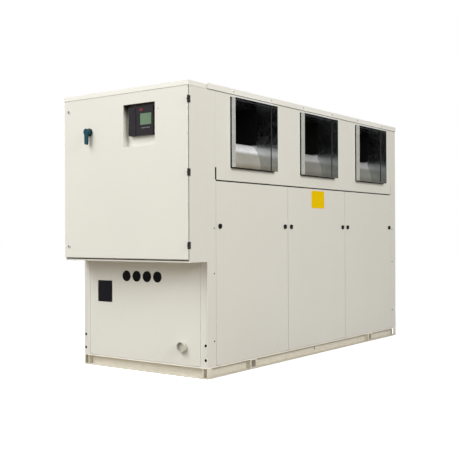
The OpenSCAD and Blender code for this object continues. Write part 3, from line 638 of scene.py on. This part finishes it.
bm = bmesh.new()
entry_lo, entry_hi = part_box("cable_entries")
entry_r = (entry_hi.z - entry_lo.z) / 2
entry_pitch = (entry_hi.y - entry_lo.y - 2 * entry_r) / 3
for k in range(4):
    at = place((x0, entry_lo.y + entry_r + k * entry_pitch, entry_lo.z + entry_r), -X)
    r = entry_r
    profile = [(r, 0.0), (r, 0.0026), (r - 0.0012, 0.0040)]
    profile += [(r - 0.0060, 0.0040), (r - 0.0080, 0.0022), (r - 0.0085, 0.0004)]
    for step in (0.010, 0.016, 0.022, 0.028):
        for inset, h in ((0.0004, 0.0004), (0.0018, 0.0020), (0.0046, 0.0020), (0.0055, 0.0004)):
            profile.append((r - step - inset, h))
    profile += [(0, 0.0004)]
    add_lathe(bm, profile, at, 40)
grommets = piece("cable_grommets", bm, "cabinet", black_rubber)
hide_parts("cable_entries")

# Fan outlets: a black seal where each sleeve leaves the panel, the lap seam inside it in near black as painted shade
# for the shadow gap there, and the rounded sheet that leads the air over the cut-off, coloured with painted
# reflections

CUT_Y, CUT_Z, CUT_A, CUT_B = -0.3788, 1.500, 0.1112, 0.208


def add_cutoff(bm, mid_x, foot_z, half=0.2774, thick=0.0012):
    """A quarter ellipse from the outlet's floor up to its crest, then nearly level back towards the wheel."""
    path = [((-1.0, 0.0), (CUT_Y - CUT_A, foot_z))]
    for k in range(29):
        t = math.radians(90 * k / 28)
        n = Vector((-math.cos(t) / CUT_A, math.sin(t) / CUT_B)).normalized()
        path.append((n, (CUT_Y - CUT_A * math.cos(t), CUT_Z + CUT_B * math.sin(t))))
    path.append(((0.0, 1.0), (-0.262, CUT_Z + CUT_B - 0.004)))
    rows = []
    for (ny, nz), (y, z) in path:
        out = [bm.verts.new((mid_x + side * half, y, z)) for side in (-1, 1)]
        back = [bm.verts.new((mid_x + side * half, y - thick * ny, z - thick * nz)) for side in (1, -1)]
        rows.append(out + back)
    for a, b in zip(rows, rows[1:]):
        for k in range(4):
            n = (k + 1) % 4
            bm.faces.new((a[k], a[n], b[n], b[k]))
    bm.faces.new(rows[0])
    bm.faces.new(list(reversed(rows[-1])))


OUTLET_W = 0.560
SEAL = [(0.0002, 0), (0.0002, 0.005), (0.0012, 0.007), (0.0036, 0.007), (0.0048, 0.005), (0.0048, 0)]
LAP = [(0.0012, 0), (0.0012, 0.010), (0.0004, 0.010), (0, 0.0096), (0, 0)]
bm_seal, bm_lap, bm_cut = bmesh.new(), bmesh.new(), bmesh.new()
for k in (1, 2, 3):
    s_lo, s_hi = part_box(f"outlet_sleeve_{k}")
    mid_x, mid_z = (s_lo.x + s_hi.x) / 2, (s_lo.z + s_hi.z) / 2
    out_h = s_hi.z - s_lo.z - (s_hi.x - s_lo.x - OUTLET_W)
    at = place((mid_x, y0, mid_z), -Y)
    add_rim(bm_seal, OUTLET_W, out_h, 0.001, SEAL, at)
    at = place((mid_x, s_lo.y + 0.066, mid_z), -Y)
    add_rim(bm_lap, OUTLET_W - 0.0060, out_h - 0.0060, 0.001, LAP, at)
    add_cutoff(bm_cut, mid_x, mid_z - out_h / 2 + 0.0024)
piece("outlet_seals", bm_seal, "cabinet", black_rubber)
piece("outlet_lap_seams", bm_lap, "cabinet", lap_painted_shade)
piece("outlet_cutoffs", bm_cut, "cabinet", cutoff_painted_reflections)

# Door locks: plated quarter turns with a double-bit insert

lock_lo, lock_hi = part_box("door_locks")
lock_r = (lock_hi.y - lock_lo.y) / 2
bm = bmesh.new()
for z in (lock_lo.z + lock_r, lock_hi.z - lock_r):
    at = place((door_lo.x, lock_lo.y + lock_r, z), -X)
    r, h = lock_r, door_lo.x - lock_lo.x
    profile = [(r, 0), (r, 0.5 * h), (r - 0.0012, 0.8 * h), (r - 0.0032, h), (r - 0.0046, h)]
    profile += [(r - 0.0054, 0.8 * h), (r - 0.0056, 0.0006)]
    profile += [(0.0036, 0.0006), (0.0036, 0.8 * h), (0.0028, 0.92 * h), (0, 0.92 * h)]
    add_lathe(bm, profile, at, 32)
    add_box(bm, (-0.0062, -0.0012, 0.0006), (0.0062, 0.0012, 0.75 * h), 0.0003, 1, at)
locks = piece("door_lock_inserts", bm, "door", lock_metal)
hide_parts("door_locks")

# Display: bezel round the screen, a lamp and a row of keys

screen_lo, screen_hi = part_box("display_screen")
screen_mid = (screen_lo + screen_hi) / 2
screen_w, screen_h = screen_hi.y - screen_lo.y, screen_hi.z - screen_lo.z
face_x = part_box("display_housing")[0].x
bm = bmesh.new()
at = place((face_x, screen_mid.y, screen_mid.z), -X)
section = [(0.0, -0.0006), (0.0, 0.0002), (0.0012, 0.0014), (0.0042, 0.0014), (0.0056, 0.0), (0.0056, -0.0006)]
add_rim(bm, screen_w, screen_h, 0.003, section, at)
piece("display_bezel", bm, "door", display_plastic)
bm = bmesh.new()
for k in range(5):
    at = place((face_x, screen_mid.y + (k - 2) * 0.016, screen_lo.z - 0.022), -X)
    add_plate(bm, rounded_outline(0.0125, 0.0070, 0.002, 3), 0.0014, at, 0.0006)
piece("display_keys", bm, "door", key_plastic)
bm = bmesh.new()
at = place((face_x, screen_hi.y - 0.010, screen_hi.z + 0.026), -X)
add_plate(bm, rounded_outline(0.032, 0.019, 0.0094, 8), 0.0016, at, 0.0007)
piece("display_lamp", bm, "door", red_lens)

# Isolator: a bezel ring on its plate, and two ribs on the lever's hub

plate_lo, plate_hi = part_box("isolator_plate")
hand_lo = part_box("isolator_handle")[0]
turn_y, turn_z = (plate_lo.y + plate_hi.y) / 2, (plate_lo.z + plate_hi.z) / 2
bm = bmesh.new()
at = place((plate_lo.x, turn_y, turn_z), -X)
r = (plate_hi.y - plate_lo.y) / 2
ring = ((0.0070, -0.0004), (0.0066, 0.0003), (0.0050, 0.0012), (0.0030, 0.0012), (0.0016, 0.0003), (0.0014, -0.0004))
add_lathe(bm, [(r - inset, h) for inset, h in ring], at, 48)
piece("isolator_bezel", bm, "door", black_plastic)
bm = bmesh.new()
for dz in (-0.012, 0.012):
    at = place((hand_lo.x, turn_y, turn_z + 0.010 + dz), -X)
    add_plate(bm, rounded_outline(0.018, 0.0022, 0.0010, 3), 0.0010, at, 0.0004)
piece("isolator_ribs", bm, "handle", handle_plastic)

# Hinge screws, on the leaves along the box's side

bm = bmesh.new()
leaf_lo, leaf_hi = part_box("door_hinges_fixed")
hinge_half = (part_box("door_hinges_moving")[1].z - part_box("door_hinges_moving")[0].z) / 2
hinge_mid = (leaf_lo.z + leaf_hi.z) / 2
for z in (hinge_mid - hinge_half + 0.008, hinge_mid, hinge_mid + hinge_half - 0.008):
    for dz in (-0.014, 0.014):
        add_screw(bm, (leaf_hi.x - 0.005, y0 - 0.0030, z + dz), -Y, 0.0055)
piece("hinge_screws", bm, "cabinet", black_metal)

# Door gasket, on the inside of the door's sheet

bm = bmesh.new()
mid_y, mid_z = (door_lo.y + door_hi.y) / 2, (door_lo.z + door_hi.z) / 2
at = place((door_lo.x + 0.002, mid_y, mid_z), X)
h = box_lo.x - door_lo.x - 0.0035
section = [(0, -0.0004), (0, h - 0.003), (0.003, h), (0.008, h), (0.011, h - 0.003), (0.011, -0.0004)]
add_rim(bm, door_hi.y - door_lo.y - 0.044, door_hi.z - door_lo.z - 0.044, 0.012, section, at)
piece("door_gasket", bm, "door", black_rubber)

# Condenser coil: thin upright fins over the block

coil_lo, coil_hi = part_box("coil_block")
FIN_COUNT, FIN_HALF = 1080, 0.0001
fin_ys = (coil_hi.y - 0.0004, coil_hi.y + 0.0026)
bm = bmesh.new()
pitch = (coil_hi.x - coil_lo.x) / FIN_COUNT
for k in range(FIN_COUNT):
    x = coil_lo.x + (k + 0.5) * pitch
    x_a, x_b = x - FIN_HALF, x + FIN_HALF
    corners = [(x_a, fin_ys[0]), (x_a, fin_ys[1]), (x_b, fin_ys[1]), (x_b, fin_ys[0])]
    a, b, c, d = [[bm.verts.new((*xy, z)) for z in (coil_lo.z, coil_hi.z)] for xy in corners]
    for p, q in ((a, b), (b, c), (c, d), (d, a)):
        bm.faces.new((p[0], q[0], q[1], p[1]))
    bm.faces.new((a[1], b[1], c[1], d[1]))
    bm.faces.new((d[0], c[0], b[0], a[0]))
piece("coil_fins", bm, "cabinet", fin_metal)

# Plain switchgear on the mounting plate, seen with the door open

plate_lo, plate_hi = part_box("mounting_plate")
px = plate_lo.x
duct, rails, grey, pale, black = (bmesh.new() for _ in range(5))


def on_plate(y, z, w, h, d, bm, bevel=0.0015, out=0.0):
    """A block on the plate: middle y and z, width, height and depth."""
    add_box(bm, (px - out - d, y - w / 2, z - h / 2), (px - out, y + w / 2, z + h / 2), bevel, 1)


def add_duct(low, high, across, upright):
    """Slotted wiring duct with a lid, from low to high along y, or along z where upright."""
    mid, length = (low + high) / 2, high - low
    n = int(length / 0.0125)

    def block(at_along, at_across, w_along, w_across, depth, bevel, out):
        if upright:
            on_plate(at_across, at_along, w_across, w_along, depth, duct, bevel, out)
        else:
            on_plate(at_along, at_across, w_along, w_across, depth, duct, bevel, out)

    block(mid, across, length, 0.040, 0.004, 0.0005, 0.0)
    block(mid, across, length, 0.041, 0.006, 0.0015, 0.054)
    for side in (-1, 1):
        for k in range(n):
            block(low + (k + 0.5) * length / n, across + side * 0.0185, 0.0084, 0.0020, 0.053, 0, 0.002)


def rail(y_a, y_b, z):
    on_plate((y_a + y_b) / 2, z, y_b - y_a, 0.027, 0.0075, rails, 0.0006)
    on_plate((y_a + y_b) / 2, z, y_b - y_a, 0.035, 0.0012, rails, 0.0003, 0.0075)


MODULE_W = 0.0177


def breaker(y, z, poles):
    w = MODULE_W * poles - 0.0006
    on_plate(y, z, w, 0.086, 0.050, pale, 0.0012, 0.006)
    on_plate(y, z, w, 0.046, 0.020, pale, 0.0014, 0.052)
    for k in range(poles):
        pole_y = y + (k - (poles - 1) / 2) * MODULE_W
        on_plate(pole_y, z + 0.004, 0.010, 0.014, 0.010, black, 0.0016, 0.070)
        for dz in (-0.034, 0.034):
            at = place((px - 0.056, pole_y, z + dz), -X)
            add_lathe(rails, [(0.0034, -0.0006), (0.0034, 0.0004), (0.0026, 0.0010), (0, 0.0010)], at, 12)


def contactor(y, z):
    on_plate(y, z, 0.054, 0.082, 0.052, black, 0.002, 0.006)
    on_plate(y, z, 0.050, 0.050, 0.026, grey, 0.003, 0.056)
    on_plate(y, z, 0.020, 0.012, 0.005, black, 0.001, 0.081)
    for k in (-1, 0, 1):
        for dz in (-0.032, 0.032):
            at = place((px - 0.058, y + k * 0.016, z + dz), -X)
            add_lathe(rails, [(0.0040, -0.0006), (0.0040, 0.0006), (0.0030, 0.0014), (0, 0.0014)], at, 12)


POLES = (3, 3, 3, 3, 1, 1, 1, 1, 2, 2)
BREAKER_Z, CONTACTOR_Z, TERMINAL_Z = 1.335, 1.075, 1.700
left, right = plate_lo.y + 0.045, plate_hi.y - 0.045
for y in (left, right):
    add_duct(0.920, 1.945, y, True)
for z in (0.945, 1.205, 1.465, 1.585):
    add_duct(left + 0.024, right - 0.024, z, False)
rail(left + 0.030, right - 0.030, BREAKER_Z)
for k, n in enumerate(POLES):
    breaker(left + 0.075 + MODULE_W * (sum(POLES[:k]) + n / 2) + 0.012 * k, BREAKER_Z, n)
rail(left + 0.030, right - 0.030, CONTACTOR_Z)
for k in range(9):
    contactor(left + 0.100 + 0.098 * k, CONTACTOR_Z)
rail(left + 0.030, right - 0.300, TERMINAL_Z)
for k in range(40):
    at_y = left + 0.060 + 0.0082 * k
    on_plate(at_y, TERMINAL_Z, 0.0076, 0.050, 0.038, grey if k % 8 else pale, 0.0006, 0.006)
on_plate(left + 0.520, 1.730, 0.120, 0.110, 0.085, black, 0.004)
on_plate(left + 0.520, 1.730, 0.080, 0.140, 0.060, grey, 0.003)
# The isolator's block, with its shaft towards the door's handle
on_plate(turn_y, turn_z, 0.105, 0.130, 0.070, black, 0.004)
on_plate(turn_y, turn_z, 0.080, 0.150, 0.045, pale, 0.003)
at = place((px - 0.068, turn_y, turn_z), -X)
add_lathe(rails, [(0.006, 0), (0.006, 0.060), (0.0052, 0.062), (0, 0.062)], at, 16)
piece("gear_ducts", duct, "cabinet", grey_plastic)
piece("gear_rails", rails, "cabinet", zinc_dull)
piece("gear_terminals", grey, "cabinet", grey_plastic)
piece("gear_breakers", pale, "cabinet", pale_plastic)
piece("gear_contactors", black, "cabinet", black_plastic)

# Water connection: a plain plug in the pipe's mouth

pipe_lo, pipe_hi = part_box("water_pipe")
pipe_mid = (pipe_lo + pipe_hi) / 2
bm = bmesh.new()
r = (pipe_hi.z - pipe_lo.z) / 2 - 0.0062
plug = [(0, -0.032), (r - 0.002, -0.032), (r, -0.030), (r, -0.0225)]
plug += [(r - 0.0015, -0.0210), (r - 0.010, -0.0200), (0, -0.0195)]
add_lathe(bm, plug, place((pipe_lo.x, pipe_mid.y, pipe_mid.z), -X), 40)
piece("pipe_plug", bm, "cabinet", pipe_paint_shaded)


# Floor, light and background


SOFT = 0.30
GROUND = (0.25, 0.200, 0.145, 1)


def seen_ray(tree):
    """1 for rays from the camera, in a reflection or through glass, which see the white background."""
    path = tree.nodes.new("ShaderNodeLightPath")
    value = path.outputs["Is Camera Ray"]
    for key in ("Is Glossy Ray", "Is Transmission Ray"):
        both = tree.nodes.new("ShaderNodeMath")
        both.operation = "MAXIMUM"
        tree.links.new(value, both.inputs[0])
        tree.links.new(path.outputs[key], both.inputs[1])
        value = both.outputs[0]
    return value


def make_stage():
    bm = bmesh.new()
    bmesh.ops.create_grid(bm, x_segments=2, y_segments=2, size=60)
    me = bpy.data.meshes.new("floor")
    bm.to_mesh(me)
    bm.free()
    floor = bpy.data.objects.new("floor", me)
    floor.location.z = -0.0005
    scene.collection.objects.link(floor)
    mat = bpy.data.materials.new("floor")
    mat.use_nodes = True
    tree = mat.node_tree
    tree.nodes.clear()
    out = tree.nodes.new("ShaderNodeOutputMaterial")
    white = tree.nodes.new("ShaderNodeBsdfDiffuse")
    white.inputs["Color"].default_value = (0.80, 0.80, 0.80, 1)
    ground = tree.nodes.new("ShaderNodeBsdfDiffuse")
    ground.inputs["Color"].default_value = GROUND
    glow = tree.nodes.new("ShaderNodeEmission")
    glow.inputs["Strength"].default_value = 1 - 0.80 * SOFT
    lit = tree.nodes.new("ShaderNodeAddShader")
    tree.links.new(white.outputs[0], lit.inputs[0])
    tree.links.new(glow.outputs[0], lit.inputs[1])
    pick = tree.nodes.new("ShaderNodeMixShader")
    tree.links.new(seen_ray(tree), pick.inputs[0])
    tree.links.new(ground.outputs[0], pick.inputs[1])
    tree.links.new(lit.outputs[0], pick.inputs[2])
    tree.links.new(pick.outputs[0], out.inputs[0])
    me.materials.append(mat)

    world = bpy.data.worlds.new("studio")
    scene.world = world
    world.use_nodes = True
    tree = world.node_tree
    tree.nodes.clear()
    out = tree.nodes.new("ShaderNodeOutputWorld")
    soft = tree.nodes.new("ShaderNodeBackground")
    soft.inputs["Color"].default_value = (1.0, 0.995, 0.98, 1)
    soft.inputs["Strength"].default_value = SOFT
    white = tree.nodes.new("ShaderNodeBackground")
    white.inputs["Color"].default_value = (1, 1, 1, 1)
    white.inputs["Strength"].default_value = 1.0
    pick = tree.nodes.new("ShaderNodeMixShader")
    tree.links.new(seen_ray(tree), pick.inputs[0])
    tree.links.new(soft.outputs[0], pick.inputs[1])
    tree.links.new(white.outputs[0], pick.inputs[2])
    tree.links.new(pick.outputs[0], out.inputs[0])


def add_light(name, place_at, target, size, watts, color=(1, 1, 1)):
    data = bpy.data.lights.new(name, "AREA")
    data.shape = "DISK"
    data.size = size
    data.energy = watts
    data.color = color
    obj = bpy.data.objects.new(name, data)
    obj.location = place_at
    obj.rotation_euler = (Vector(target) - Vector(place_at)).to_track_quat("-Z", "Y").to_euler()
    obj.visible_camera = False
    scene.collection.objects.link(obj)


make_stage()
add_light("end_light", (-9.5, 1.5, 5.0), (-1.5, 0.0, 1.0), 6.0, 350)
add_light("high_light", (-9.0, 5.0, 11.0), (-1.5, 0.0, 1.0), 8.5, 915)
add_light("side_light", (-2.6, -9.0, 5.0), (-0.2, -0.5, 1.1), 4.0, 562, (1, 0.985, 0.97))
